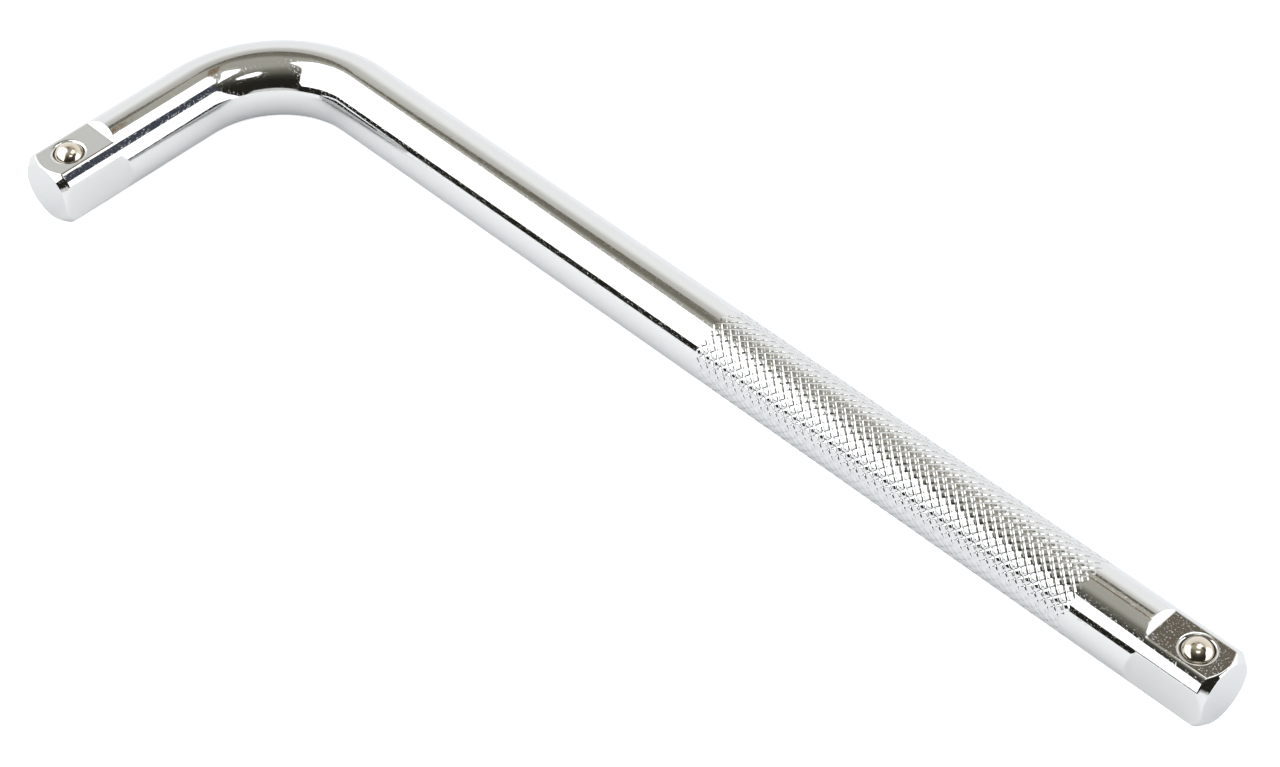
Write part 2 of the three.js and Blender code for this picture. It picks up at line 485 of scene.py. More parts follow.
def tip_cone(bar, along):
    """Radius that the turned chamfer leaves near a tip, with the rounding towards the end face."""
    total = sum(straight_lengths(bar))
    from_tip = np.maximum(np.minimum(along, total - along), 0)
    rounding = bar.chamfer_rounding
    face = BAR_RADIUS - bar.end_chamfer - rounding * math.tan(math.pi / 8)
    left = np.maximum(rounding - from_tip, 0)
    curved = face + np.sqrt(rounding ** 2 - left ** 2)
    straight = BAR_RADIUS - bar.end_chamfer + from_tip
    return np.where(from_tip < rounding * (1 - math.sqrt(0.5)), curved, straight)


def bar_surface(bar, angle, along):
    """Points of the bar's skin. Angle 0 is the outside of the bend and a quarter turn is the top."""
    centre, outward = centreline(bar, along)
    facing = np.maximum(np.abs(np.cos(angle)), np.abs(np.sin(angle)))
    radius = soft_min(BAR_RADIUS, half_flats(bar, along) / facing, bar.edge_rounding)
    radius = soft_min(radius, tip_cone(bar, along), bar.chamfer_rounding)
    up = np.array([0.0, 0.0, 1.0])
    across = np.cos(angle)[..., None] * outward + np.sin(angle)[..., None] * up
    return centre + radius[..., None] * across


def ring_angles(bar):
    """Angles around the bar: even ones, and close ones where a flat meets the round."""
    corner = math.degrees(math.acos(bar.across_flats / 2 / BAR_RADIUS))
    offsets = (-3.2, -2.4, -1.6, -1.0, -0.5, 0, 0.5, 1.0, 1.6, 2.4, 3.2)
    near = [corner + offset for offset in offsets]
    clear = offsets[-1] + 0.4
    even = [a for a in np.arange(0, 45, SKIN_STEP) if abs(a - corner) > clear]
    eighth = sorted(even + near)
    quarter = eighth + [45.0] + [90 - a for a in reversed(eighth) if a > 0]
    return np.radians([a + 90 * k for k in range(4) for a in quarter])


def chamfer_rings(bar):
    """Distances from the tip of the rings over the end face's rounded edge and the cone behind it."""
    rounding = bar.chamfer_rounding
    edge = rounding * (1 - np.sin(np.linspace(math.pi / 2, math.pi / 4, EDGE_RINGS)))
    cone = np.linspace(edge[-1], bar.end_chamfer + rounding, CONE_RINGS)
    return np.concatenate([edge, cone[1:]])


def body_rings(bar, knurl):
    """Distances along the bar of the rings between the chamfers, and how many come before the knurl."""
    short, bend, long = straight_lengths(bar)
    total = short + bend + long
    start = short + bend - bar.bend_radius
    tip_rings = [*TIP_RINGS, bar.flat_length - SHOULDER_LEAD]
    shoulder = list(bar.flat_length + bar.shoulder_run * np.linspace(0, SHOULDER_REACH, SHOULDER_RINGS))
    tip_rings += shoulder
    arm = list(np.linspace(shoulder[-1], short, 6)[1:-1])
    arc = list(short + bend * np.linspace(0, 1, BEND_RINGS))
    plain = list(np.linspace(arc[-1], start + knurl.start - KNURL_GAP, 12)[1:])
    after = list(np.linspace(start + knurl.end + KNURL_GAP, total - shoulder[-1], 3)[:-1])
    rings = tip_rings + arm + arc + plain
    return np.array(rings + after + [total - s for s in reversed(tip_rings)]), len(rings)


def unit(vectors):
    """Vectors scaled to length one."""
    return vectors / np.maximum(np.linalg.norm(vectors, axis=-1, keepdims=True), 1e-12)


def slope_normals(bar, angle, along):
    """Directions that the skin faces, from its slopes. The first and last ring face as the end faces do."""
    step = 2e-6
    around = bar_surface(bar, angle + step, along) - bar_surface(bar, angle - step, along)
    ahead = bar_surface(bar, angle, along + step) - bar_surface(bar, angle, along - step)
    skin = unit(np.cross(around, ahead))
    skin[0] = (0, -1, 0)
    skin[-1] = (1, 0, 0)
    return skin


def bar_skin(bar, knurl):
    """The bar's skin as rings: points, facings, the angles around it, and the last ring before the knurl."""
    total = sum(straight_lengths(bar))
    body, before_knurl = body_rings(bar, knurl)
    tip = chamfer_rings(bar)
    along = np.concatenate([tip, body, total - tip[::-1]])
    angles = ring_angles(bar)
    angle, distance = np.meshgrid(angles, along)
    points = bar_surface(bar, angle, distance)
    normals = slope_normals(bar, angle, distance)
    return points, normals, angles, len(tip) + before_knurl - 1


# -------- the knurl


def knurl_tree(sizes, material):
    """Geometry Nodes tree of the knurl: one diamond, laid out in rows, rolled around the bar."""
    tree = geometry_tree("rolled_diamond_knurl", sizes)
    add = partial(add_node, tree)
    given = add("NodeGroupInput").outputs
    maths, vectors = "ShaderNodeMath", "ShaderNodeVectorMath"

    # One diamond: a six by six grid. Its middle is the crest, its outer faces are the walls of the grooves.
    grid = add("GeometryNodeMeshGrid", 1.0, 1.0, 6, 6)
    spot = add("GeometryNodeInputPosition")
    size = add(vectors, spot, operation="ABSOLUTE")
    side = add(vectors, spot, operation="SIGN")
    crest, wall, rim = (0.1,) * 3, (0.3,) * 3, (0.5,) * 3
    edge = add(maths, 0.5, given["Groove"], operation="SUBTRACT")
    soft = add(maths, edge, given["Rounding"], operation="SUBTRACT")
    near = add("ShaderNodeMapRange", size, crest, wall, soft, edge, data_type="FLOAT_VECTOR")
    far = add("ShaderNodeMapRange", size, wall, rim, (0,) * 3, given["Groove"], data_type="FLOAT_VECTOR")
    reach = add(vectors, near, far, operation="ADD")
    spread = add(vectors, reach, side, operation="MULTIPLY")
    level, lip_drop, wall_drop = (0,) * 3, (LIP_SHARE,) * 3, (1 - LIP_SHARE,) * 3
    lip = add("ShaderNodeMapRange", size, crest, wall, level, lip_drop, data_type="FLOAT_VECTOR")
    slope = add("ShaderNodeMapRange", size, wall, rim, level, wall_drop, data_type="FLOAT_VECTOR")
    drop = add(vectors, lip, slope, operation="ADD")
    a, b = add("ShaderNodeSeparateXYZ", spread).outputs[:2]
    a_drop, b_drop = add("ShaderNodeSeparateXYZ", drop).outputs[:2]
    round_bar = add(maths, a, b, operation="SUBTRACT")
    round_bar = add(maths, round_bar, given["Half width"], operation="MULTIPLY")
    along_bar = add(maths, a, b, operation="ADD")
    along_bar = add(maths, along_bar, given["Half period"], operation="MULTIPLY")
    deepest = add(maths, a_drop, b_drop, operation="MAXIMUM")
    down = add(maths, deepest, -1.0, operation="MULTIPLY")
    shape = add("ShaderNodeCombineXYZ", round_bar, along_bar, down)
    diamond = add("GeometryNodeSetPosition", Geometry=grid, Position=shape)

    # Rows of diamonds, every other row half a diamond further round.
    lattice = add("GeometryNodeMeshGrid", 1.0, 1.0, given["Starts"], given["Rows"])
    index = add("GeometryNodeInputIndex")
    share = add(maths, index, given["Rows"], operation="DIVIDE")
    column = add(maths, share, operation="FLOOR")
    row = add(maths, index, given["Rows"], operation="MODULO")
    odd = add(maths, row, 2.0, operation="MODULO")
    halves = add(maths, column, 2.0, odd, operation="MULTIPLY_ADD")
    x = add(maths, halves, given["Half width"], operation="MULTIPLY")
    y = add(maths, row, given["Half period"], given["First row"], operation="MULTIPLY_ADD")
    seat = add("ShaderNodeCombineXYZ", x, y, 0.0)
    seats = add("GeometryNodeSetPosition", Geometry=lattice, Position=seat)
    rows = add("GeometryNodeInstanceOnPoints", Points=seats, Instance=diamond)
    sheet = add("GeometryNodeRealizeInstances", rows)

    # Rolled around the bar. The grooves run out at both ends, and their depth wanders as the rolls bite.
    flat_spot = add("GeometryNodeInputPosition")
    x, y, z = add("ShaderNodeSeparateXYZ", flat_spot).outputs
    turn = add(maths, x, given["Radius"], operation="DIVIDE")
    cosine = add(maths, turn, operation="COSINE")
    sine = add(maths, turn, operation="SINE")
    outward = add("ShaderNodeCombineXYZ", 0.0, cosine, sine)
    on_axis = add("ShaderNodeCombineXYZ", y)
    on_bar = add(vectors, outward, given["Radius"], on_axis, operation="MULTIPLY_ADD")
    from_start = add(maths, y, given["Start"], operation="SUBTRACT")
    to_end = add(maths, given["End"], y, operation="SUBTRACT")
    nearest = add(maths, from_start, to_end, operation="MINIMUM")
    run_out = add("ShaderNodeMapRange", nearest, 0.0, given["Fade"], 0.0, given["Depth"])
    bite = add("ShaderNodeTexNoise", Vector=on_bar, Scale=grain(5.0), Detail=1.0)
    more = add(maths, bite, 0.5, operation="SUBTRACT")
    wander = add(maths, more, given["Wander"], 1.0, operation="MULTIPLY_ADD")
    depth = add(maths, run_out, wander, operation="MULTIPLY")
    radius = add(maths, z, depth, given["Radius"], operation="MULTIPLY_ADD")
    bent = add(vectors, outward, radius, on_axis, operation="MULTIPLY_ADD")
    rolled = add("GeometryNodeSetPosition", Geometry=sheet, Position=bent)
    joined = add("GeometryNodeMergeByDistance", Geometry=rolled, Distance=MERGE)
    whole = add("GeometryNodeRealizeInstances", joined)
    done = add("GeometryNodeSetMaterial", Geometry=whole, Material=material)
    add("NodeGroupOutput", done)
    return tree


def knurl_sizes(knurl):
    """The knurl's sizes as its node tree reads them. Whole diamonds fit between its ends."""
    half_width = math.pi * BAR_RADIUS / knurl.starts
    rows = 2 * round((knurl.end - knurl.start) / knurl.period) - 1
    half_period = (knurl.end - knurl.start) / (rows + 1)
    across = 2 * half_width * half_period / math.hypot(half_width, half_period)
    return {
        "Starts": knurl.starts,
        "Rows": rows,
        "Start": knurl.start,
        "End": knurl.end,
        "First row": knurl.start + half_period,
        "Radius": BAR_RADIUS,
        "Half width": half_width,
        "Half period": half_period,
        "Depth": knurl.depth,
        "Groove": knurl.groove / 2 / across,
        "Rounding": knurl.crest_rounding / across,
        "Fade": knurl.fade,
        "Wander": knurl.wander,
    }


def open_rim(mesh, points, at_start):
    """Vertices of one open end of a rolled sheet, in order of their angle around the bar."""
    count = np.bincount(read(mesh.loops, "edge_index", kind=int), minlength=len(mesh.edges))
    rim = np.unique(read(mesh.edges, "vertices", 2, int)[count == 1])
    middle = (points[:, 0].min() + points[:, 0].max()) / 2
    rim = rim[(points[rim, 0] < middle) == at_start]
    angle = np.arctan2(points[rim, 2], points[rim, 1] - LONG_AXIS_Y) % (2 * math.pi)
    order = np.argsort(angle)
    return rim[order], angle[order]


def zip_rims(first, first_angle, second, second_angle):
    """Triangles between two closed rims around the bar. The second rim lies further along it."""
    faces = []
    i = j = 0
    first_count, second_count = len(first), len(second)
    first, second = np.append(first, first[0]), np.append(second, second[0])
    first_angle = np.append(first_angle, first_angle[0] + 2 * math.pi)
    second_angle = np.append(second_angle, second_angle[0] + 2 * math.pi)
    while i < first_count or j < second_count:
        here, there = first[i], second[j]
        if j == second_count or (i < first_count and first_angle[i + 1] <= second_angle[j + 1]):
            i += 1
            faces.append((here, first[i], there))
        else:
            j += 1
            faces.append((here, second[j], there))
    return faces


# -------- the bar


def weighted_normals(points, faces):
    """Facing direction of each point, weighted by the size of the faces around it."""
    total = np.zeros_like(points)
    for size in (3, 4):
        same = np.array([face for face in faces if len(face) == size])
        if not len(same):
            continue
        corner = points[same]
        if size == 3:
            area = np.cross(corner[:, 1] - corner[:, 0], corner[:, 2] - corner[:, 0])
        else:
            area = np.cross(corner[:, 2] - corner[:, 0], corner[:, 3] - corner[:, 1])
        for k in range(size):
            np.add.at(total, same[:, k], area)
    return unit(total)


def bar_blank(bar, knurl, knurl_mesh):
    """The bar before its pockets are cut: points, their facings, their depth in the grooves, and faces."""
    skin, normals, angles, before = bar_skin(bar, knurl)
    ring_count, ring_size = skin.shape[:2]
    points = [skin.reshape(-1, 3)]
    facing = [normals.reshape(-1, 3)]
    faces = []
    for ring in range(ring_count - 1):
        if ring == before:
            continue
        here, there = ring * ring_size, (ring + 1) * ring_size
        for k in range(ring_size):
            n = (k + 1) % ring_size
            faces.append((here + k, here + n, there + n, there + k))
    # End faces, closed around a point at their middle.
    for ring, direction in ((0, (0, -1, 0)), (ring_count - 1, (1, 0, 0))):
        middle = sum(len(p) for p in points)
        points.append(skin[ring].mean(0, keepdims=True))
        facing.append(np.array([direction], float))
        for k in range(ring_size):
            corner = (ring * ring_size + k, ring * ring_size + (k + 1) % ring_size)
            faces.append((corner[1], corner[0], middle) if ring == 0 else (*corner, middle))
    # The knurl, and the strips that join it to the plain bar.
    grip = read(knurl_mesh.vertices, "co", 3)
    grip[:, 1] += LONG_AXIS_Y
    first = sum(len(p) for p in points)
    grip_faces = [tuple(p.vertices) for p in knurl_mesh.polygons]
    grip_facing = weighted_normals(grip, grip_faces)
    faces += [tuple(first + v for v in face) for face in grip_faces]
    for at_start in (True, False):
        rim, rim_angle = open_rim(knurl_mesh, grip, at_start)
        radial = np.stack([0 * rim_angle, np.cos(rim_angle), np.sin(rim_angle)], -1)
        grip_facing[rim] = radial
        ring = (before if at_start else before + 1) * ring_size + np.arange(ring_size)
        pair = (ring, angles, first + rim, rim_angle) if at_start else (first + rim, rim_angle, ring, angles)
        faces += zip_rims(*pair)
    depth = 1 - (np.hypot(grip[:, 1] - LONG_AXIS_Y, grip[:, 2]) - BAR_RADIUS + knurl.depth) / knurl.depth
    groove = np.concatenate([np.zeros(first), depth])
    points.append(grip)
    facing.append(grip_facing)
    return np.concatenate(points), np.concatenate(facing), groove, faces


def pocket_profile(pocket, half, ball_z, ball_radius):
    """Outline of the pocket's cutter, as radius and height, from the drill's point up past the flat."""
    bore = ball_radius + pocket.ball_clearance
    lip = ball_radius - pocket.lip_overhang
    lip_top = half - pocket.dish_depth
    lip_low = lip_top - pocket.lip_land
    slope = 1 / math.tan(pocket.drill_angle / 2)
    shoulder = -half + pocket.floor_left + bore * slope
    lip_angle = math.asin((lip_low - ball_z) / bore)
    profile = [(0, shoulder - bore * slope), (bore, shoulder)]
    for t in np.linspace(0, lip_angle, BORE_STEPS):
        profile.append((bore * math.cos(t), ball_z + bore * math.sin(t)))
    profile += [(lip, lip_low + LIP_ROUNDING / 2), (lip, lip_top - LIP_ROUNDING)]
    # The staked ring: rounded lip, a dish with the punch's fine turning marks, and a soft outer edge.
    for k in range(1, DISH_STEPS):
        t = k / DISH_STEPS
        dish = pocket.dish_depth * (1 - (1 - t) ** DISH_HOLLOW)
        marks = MARK_DEPTH * math.sin(2 * math.pi * DISH_MARKS * t) * math.sin(math.pi * t)
        profile.append((lip + pocket.dish_width * t, lip_top + dish + marks))
    rim, above = lip + pocket.dish_width, half + 2 * MM
    return profile + [(rim, half), (rim, above), (0, above)]


def lathe(name, profile):
    """A closed turned solid from an outline that starts and ends on its axis."""
    sides = CUTTER_SIDES
    turns = np.arange(sides) * 2 * math.pi / sides
    points = [(0, 0, profile[0][1])]
    for radius, height in profile[1:-1]:
        points += [(radius * math.cos(t), radius * math.sin(t), height) for t in turns]
    points.append((0, 0, profile[-1][1]))
    faces = []
    rings = len(profile) - 2
    for k in range(sides):
        n = (k + 1) % sides
        faces.append((0, 1 + n, 1 + k))
        for ring in range(rings - 1):
            low, high = 1 + ring * sides, 1 + (ring + 1) * sides
            faces.append((low + k, low + n, high + n, high + k))
        top = 1 + (rings - 1) * sides
        faces.append((top + k, top + n, len(points) - 1))
    return mesh_from(name, points, faces)


def cut_pockets(blank, bar, pocket):
    """Cuts a ball pocket into each drive of the blank, and returns the mesh."""
    for drive in DRIVES:
        centre, radius = ball_place(drive)
        profile = pocket_profile(pocket, bar.across_flats / 2, centre.z, radius)
        cutter = link_object(f"{drive}_cutter", lathe(f"{drive}_cutter", profile))
        cutter.data.transform(Matrix.Translation((centre.x, centre.y, 0)))
        modifier = blank.modifiers.new(drive, "BOOLEAN")
        modifier.operation = "DIFFERENCE"
        modifier.solver = "MANIFOLD"
        modifier.object = cutter
    mesh = bake_modifiers(blank)
    for drive in DRIVES:
        bpy.data.objects.remove(bpy.data.objects[f"{drive}_cutter"])
    return mesh


def set_bar_normals(mesh, bar, pocket):
    """Sets each corner's facing: the skin's own, the flat's around a pocket, and the turned one inside it."""
    points = read(mesh.vertices, "co", 3)
    skin = unit(read(mesh.attributes["skin_normal"].data, "vector", 3))
    half = bar.across_flats / 2
    inside = np.zeros(len(points), bool)
    for drive in DRIVES:
        centre, radius = ball_place(drive)
        rim = radius - pocket.lip_overhang + pocket.dish_width + RIM_MARGIN
        inside |= np.hypot(points[:, 0] - centre.x, points[:, 1] - centre.y) < rim
    at_flat = np.abs(points[:, 2] - half) < FLAT_MARGIN
    underside = points[:, 2] < -half + UNDERSIDE_MARGIN
    skin[inside & at_flat] = (0, 0, 1)
    pocket_faces = []
    for face in mesh.polygons:
        corners = list(face.vertices)
        if inside[corners].all() and not at_flat[corners].all() and not underside[corners].any():
            pocket_faces.append(face)
    turned = weighted_normals(points, [tuple(face.vertices) for face in pocket_faces])
    vertex_of_corner = read(mesh.loops, "vertex_index", kind=int)
    normals = skin[vertex_of_corner]
    for face in pocket_faces:
        corners = list(face.loop_indices)
        normals[corners] = turned[vertex_of_corner[corners]]
    mesh.attributes.remove(mesh.attributes["skin_normal"])
    mesh.normals_split_custom_set(normals)


def make_bar(bar, pocket, knurl, material):
    """The whole bar as one closed mesh."""
    sizes = knurl_sizes(knurl)
    knurl_mesh = grow("knurl", knurl_tree(sizes, material), sizes)
    points, facing, groove, faces = bar_blank(bar, knurl, knurl_mesh)
    mesh = mesh_from("bar_blank", points, faces)
    store(mesh, "groove_depth", "FLOAT", groove)
    store(mesh, "skin_normal", "FLOAT_VECTOR", facing)
    blank = link_object("bar_blank", mesh)
    cut = cut_pockets(blank, bar, pocket)
    bpy.data.objects.remove(blank)
    cut.shade_smooth()
    set_bar_normals(cut, bar, pocket)
    cut.name = "chromed_bar"
    return link_object("chromed_bar", cut)


# -------- balls and springs


def make_ball(drive):
    """A true sphere of even faces, where the drive's ball sits."""
    centre, radius = ball_place(drive)
    points, faces, seen = [], [], {}

    def vertex(direction):
        key = tuple(round(c, 7) for c in direction)
        if key not in seen:
            seen[key] = len(points)
            points.append(centre + radius * Vector(direction))
        return seen[key]

    even = [math.tan(math.pi / 4 * (2 * k / BALL_STEPS - 1)) for k in range(BALL_STEPS + 1)]
    for left, right in ((1, 2), (2, 0), (0, 1)):
        for sign, i, j in product((-1, 1), range(BALL_STEPS), range(BALL_STEPS)):
            corners = []
            for across, up in ((i, j), (i + 1, j), (i + 1, j + 1), (i, j + 1)):
                direction = Vector((sign, sign, sign))
                direction[left] = even[across]
                direction[right] = even[up]
                corners.append(vertex(direction.normalized()))
            faces.append(corners if sign > 0 else corners[::-1])
    mesh = mesh_from(f"{drive}_detent_ball", points, faces)
    mesh.normals_split_custom_set_from_vertices([(p - centre).normalized() for p in points])
    return link_object(mesh.name, mesh)


def spring_tree(sizes, material):
    """Geometry Nodes tree of a compression spring with closed end turns."""
    tree = geometry_tree("closed_end_spring", sizes)
    add = partial(add_node, tree)
    given = add("NodeGroupInput").outputs
    maths, range_node = "ShaderNodeMath", "ShaderNodeMapRange"
    coil = add("GeometryNodeCurveSpiral", Resolution=COIL_STEPS, Rotations=given["Turns"],
               Start_Radius=given["Coil radius"], End_Radius=given["Coil radius"], Height=0.0)
    # Height along the wire: each end turn climbs one wire, and the turns between share the rest.
    factor = add("GeometryNodeSplineParameter")
    turn = add(maths, factor, given["Turns"], operation="MULTIPLY")
    last = add(maths, given["Turns"], 1.0, operation="SUBTRACT")
    ends = add(maths, given["Wire"], 2.0, operation="MULTIPLY")
    room = add(maths, given["Height"], ends, operation="SUBTRACT")
    first_climb = add(range_node, turn, 0.0, 1.0, 0.0, given["Wire"])
    open_climb = add(range_node, turn, 1.0, last, 0.0, room)
    last_climb = add(range_node, turn, last, given["Turns"], 0.0, given["Wire"])
    height = add(maths, first_climb, open_climb, operation="ADD")
    height = add(maths, height, last_climb, operation="ADD")
    height = add(maths, height, given["Bottom"], operation="ADD")
    lift = add("ShaderNodeCombineXYZ", Z=height)
    raised = add("GeometryNodeSetPosition", Geometry=coil, Offset=lift)
    wire_radius = add(maths, given["Wire"], 0.5, operation="MULTIPLY")
    section = add("GeometryNodeCurvePrimitiveCircle", Resolution=WIRE_SIDES, Radius=wire_radius)
    wire = add("GeometryNodeCurveToMesh", Curve=raised, Profile_Curve=section, Fill_Caps=True)
    whole = add("GeometryNodeRealizeInstances", wire)
    done = add("GeometryNodeSetMaterial", Geometry=whole, Material=material)
    add("NodeGroupOutput", done)
    return tree


def make_spring(drive, spring, material):
    """A drive's spring, standing where its solid stands."""
    low, high = spring_place(drive)
    centre, _ = ball_place(drive)
    sizes = {
        "Turns": spring.turns,
        "Coil radius": spring.mean_diameter / 2,
        "Wire": spring.wire,
        "Height": high - low - spring.wire,
        "Bottom": low + spring.wire / 2,
    }
    mesh = grow(f"{drive}_coil", spring_tree(sizes, material), sizes)
    mesh.transform(Matrix.Translation((centre.x, centre.y, 0)))
    mesh.name = f"{drive}_detent_spring"
    return link_object(mesh.name, mesh)


# -------- studio

# Heights over the bar. Where panels overlap, the lower one hides the other.
SOFTBOX, CEILING, BLIND, BEAM, EDGE, DARK = 0.35, 0.559, 0.557, 0.555, 0.553, 0.551

# Strengths of the windows, of the room as the chrome sees it, and of the pale backdrop
WINDOW, ROOM, BACKDROP = 3.2, 1.45, 1.2

# Name, colour, strength, share that fades out, height in metres, and slopes from the bend to the corners
OVERHEAD_PANELS = (
    ("left_softbox", "#FFFFFF", WINDOW, 0.05, SOFTBOX, [
        (-4.0, 0.04), (-4.0, -3.4), (0.55, -3.4), (0.42, -2.1), (0.12, -1.0), (-0.1, -0.42),
        (-0.1, -0.17), (-0.27, -0.08), (-0.38, -0.03), (-0.55, 0.03), (-0.7, 0.05)]),
    ("small_window", "#FFFFFF", WINDOW, 0.25, CEILING, [
        (0.43, -0.3), (0.6, -0.12), (0.75, 0.0), (0.9, -0.05), (0.86, -0.3), (0.7, -0.47), (0.5, -0.42)]),
    ("near_window", "#FFFFFF", WINDOW, 0.2, CEILING, [
        (0.08, 0.24), (0.2, 0.04), (0.36, 0.02), (0.52, 0.12), (0.68, 0.32), (0.4, 0.24)]),
    ("far_window", "#FFFFFF", WINDOW, 0.1, CEILING, [
        (0.0, 0.36), (0.4, 0.29), (0.56, 0.33), (0.64, 0.75), (0.0, 0.72)]),
    ("blue_blind", "#4B4F5A", 1.2, 0.12, BLIND, [(0.52, 0.34), (1.24, 0.40), (1.36, 0.84), (0.58, 0.72)]),
    ("wooden_beam", "#C4A484", 0.6, 0.4, BEAM, [(-0.35, 0.34), (0.05, 0.28), (0.1, 0.37), (-0.35, 0.41)]),
    ("brown_beam", "#79756A", ROOM, 0.7, CEILING, [
        (-0.76, 0.08), (-0.26, -0.02), (-0.16, 0.2), (-0.25, 0.42), (-0.44, 0.5), (-0.61, 0.46),
        (-0.76, 0.25)]),
    ("beam_edge", "#706B60", ROOM, 0.25, EDGE, [
        (-0.80, 0.12), (-0.76, 0.26), (-0.60, 0.46), (-0.40, 0.52), (-0.36, 0.42), (-0.52, 0.32),
        (-0.66, 0.16)]),
    ("dark_beam", "#6F675B", ROOM, 0.1, DARK, [(-0.2, 0.60), (0.15, 0.58), (0.15, 0.81), (-0.2, 0.81)]),
)

# The same, with the distance in metres and the corners' azimuth and elevation in degrees
WALL_PANELS = (
    ("side_window", "#FFFFFF", 3.0, 0.08, 1.4, [
        (80, -4), (150, -6), (150, 36), (111, 36), (101, 25), (95, 16)]),
    ("table_sweep", "#D8D8D6", ROOM, 0.3, 1.5, [(5, -2), (78, -2), (70, 7), (40, 9), (15, 6)]),
)


def sky_direction(azimuth, elevation):
    """Direction with azimuth from -Y towards +X and elevation above the horizon, in degrees."""
    a, e = math.radians(azimuth), math.radians(elevation)
    return Vector((math.sin(a) * math.cos(e), -math.cos(a) * math.cos(e), math.sin(e)))


def glow(name, hex_colour, strength):
    """Light from a panel, even in the middle and fading out at the panel's rim, as a softbox's cloth does."""
    material, add = new_material(name)
    rim = add("ShaderNodeAttribute", attribute_name="rim_fade").outputs["Fac"]
    mask = add("ShaderNodeMapRange", Value=rim, interpolation_type="SMOOTHSTEP")
    light = add("ShaderNodeEmission", Color=linear(hex_colour), Strength=strength)
    clear = add("ShaderNodeBsdfTransparent")
    mixed = add("ShaderNodeMixShader", mask, clear, light)
    add("ShaderNodeOutputMaterial", Surface=mixed)
    return material


def studio_panel(name, corners, hex_colour, strength, softness):
    """A glowing panel that only the chrome sees. Softness is the share of its size that its rim takes."""
    corners = np.array(corners, float)
    middle = corners.mean(0)
    count = len(corners)
    inner = middle + (corners - middle) * (1 - softness)
    faces = [tuple(range(count, 2 * count))]
    faces += [(k, (k + 1) % count, count + (k + 1) % count, count + k) for k in range(count)]
    mesh = mesh_from(name, np.concatenate([corners, inner]), faces)
    store(mesh, "rim_fade", "FLOAT", [0.0] * count + [1.0] * count)
    mesh.materials.append(glow(name, hex_colour, strength))
    panel = link_object(name, mesh)
    panel.visible_camera = False
    panel.visible_diffuse = False
    panel.visible_shadow = False


def overhead_corners(height, slopes):
    """Corners of a level panel: where lines of the given slopes, drawn from the bend's middle, reach it."""
    return [(BEND_MIDDLE[0] + height * x, BEND_MIDDLE[1] + height * y, height) for x, y in slopes]


def wall_corners(distance, reach):
    """Corners of a panel that stands around the bar, from their azimuth and elevation in degrees."""
    corners = []
    for azimuth, elevation in reach:
        foot = distance * sky_direction(azimuth, 0)
        rise = distance * math.tan(math.radians(elevation))
        corners.append((BEND_MIDDLE[0] + foot.x, BEND_MIDDLE[1] + foot.y, rise))
    return corners


def make_floor(studio, finish):
    """A plain pale floor under the bar."""
    half = studio.floor_size / 2
    corners = [(x * half, y * half, FLOOR_Z) for x, y in ((-1, -1), (1, -1), (1, 1), (-1, 1))]
    mesh = mesh_from("floor", corners, [(0, 1, 2, 3)])
    mesh.materials.append(light_table(finish, studio.floor_glow))
    link_object("floor", mesh)


def make_world(studio):
    """Light from all around: a room for the chrome to reflect, fill for the floor, and a pale backdrop."""
    world = bpy.data.worlds.new("soft_studio")
    world.use_nodes = True
    bpy.context.scene.world = world
    world.node_tree.nodes.clear()
    add = partial(add_node, world.node_tree)
    direction = add("ShaderNodeTexCoord").outputs["Generated"]
    rise = add("ShaderNodeSeparateXYZ", direction).outputs["Z"]
    # The dim half of the room lies where the camera stands, and the bright wall behind the long arm.
    dim = add("ShaderNodeValToRGB", rise, stops=[
        (0.0, "#22201B"), (0.55, "#27251F"), (0.71, "#3E3C35"), (0.89, "#7A786D"), (0.97, "#A7A59A"),
        (1.0, "#A9A79C")])
    bright = add("ShaderNodeValToRGB", rise, stops=[
        (0.0, "#FDFDFE"), (0.5, "#FCFCFB"), (0.6, "#ECEBE8"), (0.65, "#D3D2CE"), (0.7, "#CECCC6"),
        (0.77, "#BFBDB5"), (0.84, "#B2B0A6"), (1.0, "#A9A79C")])
    side = add("ShaderNodeVectorMath", direction, sky_direction(35, 0), operation="DOT_PRODUCT")
    share = add("ShaderNodeMapRange", side.outputs["Value"], -0.15, 0.1, 0.0, 1.0,
                interpolation_type="SMOOTHSTEP")
    room = add("ShaderNodeMix", share, bright, dim, data_type="RGBA")
    seen = add("ShaderNodeBackground", Color=room, Strength=ROOM)
    fill = add("ShaderNodeBackground", Color=(1, 1, 1, 1), Strength=studio.fill)
    pale = add("ShaderNodeBackground", Color=(1, 1, 1, 1), Strength=BACKDROP)
    ray = add("ShaderNodeLightPath").outputs
    lit = add("ShaderNodeMixShader", ray["Is Glossy Ray"], fill, seen)
    whole = add("ShaderNodeMixShader", ray["Is Camera Ray"], lit, pale)
    add("ShaderNodeOutputWorld", Surface=whole)


def make_panels():
    """The softboxes and windows around the bar, and the brown beams between them."""
    for name, hex_colour, strength, softness, height, slopes in OVERHEAD_PANELS:
        studio_panel(name, overhead_corners(height, slopes), hex_colour, strength, softness)
    for name, hex_colour, strength, softness, distance, reach in WALL_PANELS:
        studio_panel(name, wall_corners(distance, reach), hex_colour, strength, softness)


def make_camera(studio):
    """The camera, aimed at the bar's plane."""
    data = bpy.data.cameras.new("camera")
    data.lens = studio.focal_length
    data.sensor_width = 36.0
    data.clip_start = 0.01
    camera = bpy.data.objects.new("camera", data)
    bpy.context.scene.collection.objects.link(camera)
    back = sky_direction(math.degrees(studio.azimuth), math.degrees(studio.elevation))
    turn = back.to_track_quat("Z", "Y").to_matrix() @ Matrix.Rotation(studio.roll, 3, "Z")
    camera.matrix_world = Matrix.LocRotScale(Vector(studio.aim) + studio.distance * back, turn, None)
    bpy.context.scene.camera = camera


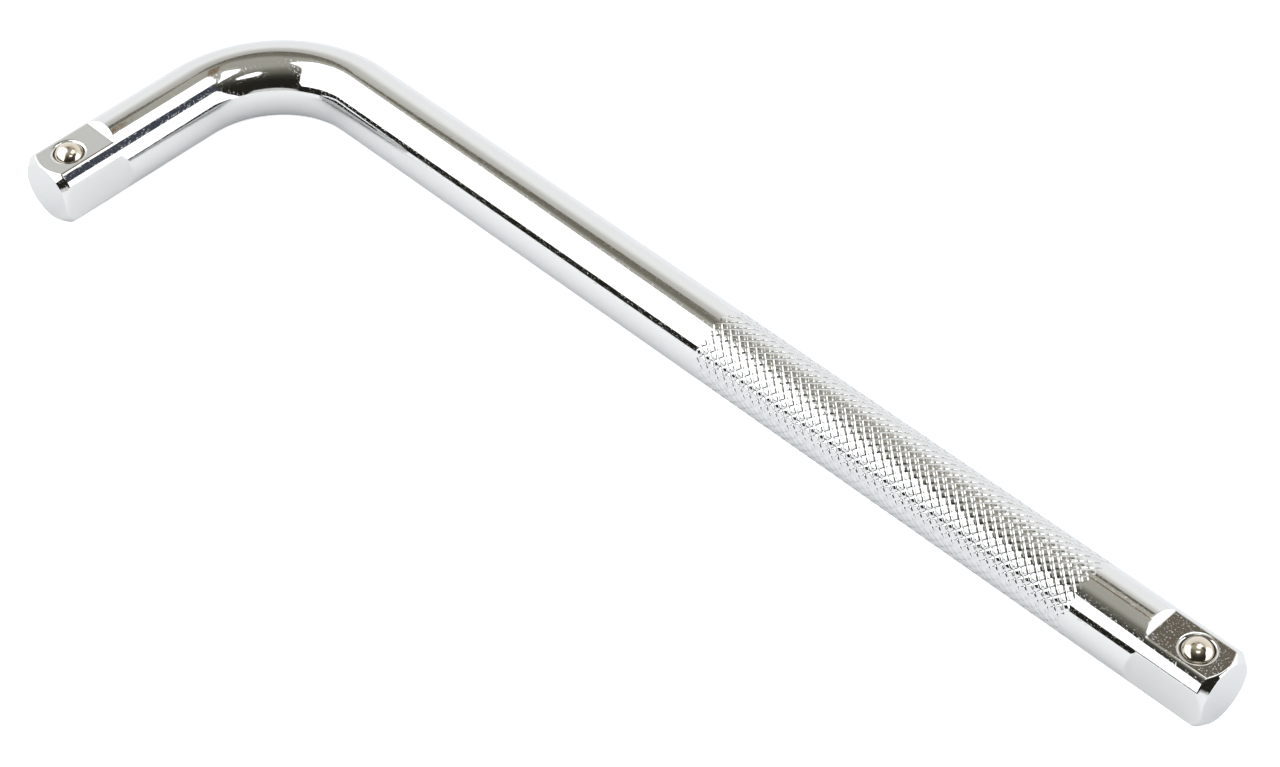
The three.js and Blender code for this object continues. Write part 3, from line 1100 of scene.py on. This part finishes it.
# -------- operators and panel


class LH_OT_bar(bpy.types.Operator):
    """Build the chromed bar with its bend, square drives, knurl and ball pockets"""

    bl_idname = "l_handle.bar"
    bl_label = "Chromed bar"

    def execute(self, context):
        scene = context.scene
        material = chrome_plate(scene.lh_finish)
        piece = make_bar(scene.lh_bar, scene.lh_pocket, scene.lh_knurl, material)
        finish_piece(piece, material, BODY, "bar")
        return {"FINISHED"}


class LH_OT_balls(bpy.types.Operator):
    """Build the detent ball of each drive"""

    bl_idname = "l_handle.balls"
    bl_label = "Detent balls"

    def execute(self, context):
        material = bearing_steel(context.scene.lh_finish)
        for drive, (body, _) in DRIVES.items():
            finish_piece(make_ball(drive), material, body, f"{drive}_ball")
        return {"FINISHED"}


class LH_OT_springs(bpy.types.Operator):
    """Build the spring under each detent ball"""

    bl_idname = "l_handle.springs"
    bl_label = "Detent springs"

    def execute(self, context):
        spring = context.scene.lh_spring
        material = spring_steel(context.scene.lh_finish)
        for drive, (_, joint) in DRIVES.items():
            piece = make_spring(drive, spring, material)
            finish_piece(piece, material, BODY, f"{drive}_spring")
            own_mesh(piece)
        return {"FINISHED"}


class LH_OT_stage(bpy.types.Operator):
    """Set up the floor, the light and the camera"""

    bl_idname = "l_handle.stage"
    bl_label = "Stage"

    def execute(self, context):
        scene = context.scene
        scene.view_settings.view_transform = "Standard"
        make_camera(scene.lh_studio)
        make_floor(scene.lh_studio, scene.lh_finish)
        make_world(scene.lh_studio)
        make_panels()
        return {"FINISHED"}


class LH_PT_panel(bpy.types.Panel):
    """The pieces of the L-handle and the stage"""

    bl_label = "L-handle"
    bl_space_type = "VIEW_3D"
    bl_region_type = "UI"
    bl_category = "L-handle"

    def draw(self, context):
        for operator in (LH_OT_stage, LH_OT_bar, LH_OT_balls, LH_OT_springs):
            self.layout.operator(operator.bl_idname)


CLASSES = (*SETTINGS.values(), LH_OT_stage, LH_OT_bar, LH_OT_balls, LH_OT_springs, LH_PT_panel)


def register():
    for item in CLASSES:
        bpy.utils.register_class(item)
    for name, group in SETTINGS.items():
        setattr(bpy.types.Scene, name, PointerProperty(type=group))


def unregister():
    for name in SETTINGS:
        delattr(bpy.types.Scene, name)
    for item in reversed(CLASSES):
        bpy.utils.unregister_class(item)


def main():
    register()
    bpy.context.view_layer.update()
    bpy.ops.l_handle.stage()
    bpy.ops.l_handle.bar()
    bpy.ops.l_handle.balls()
    bpy.ops.l_handle.springs()


if __name__ == "__main__":
    main()
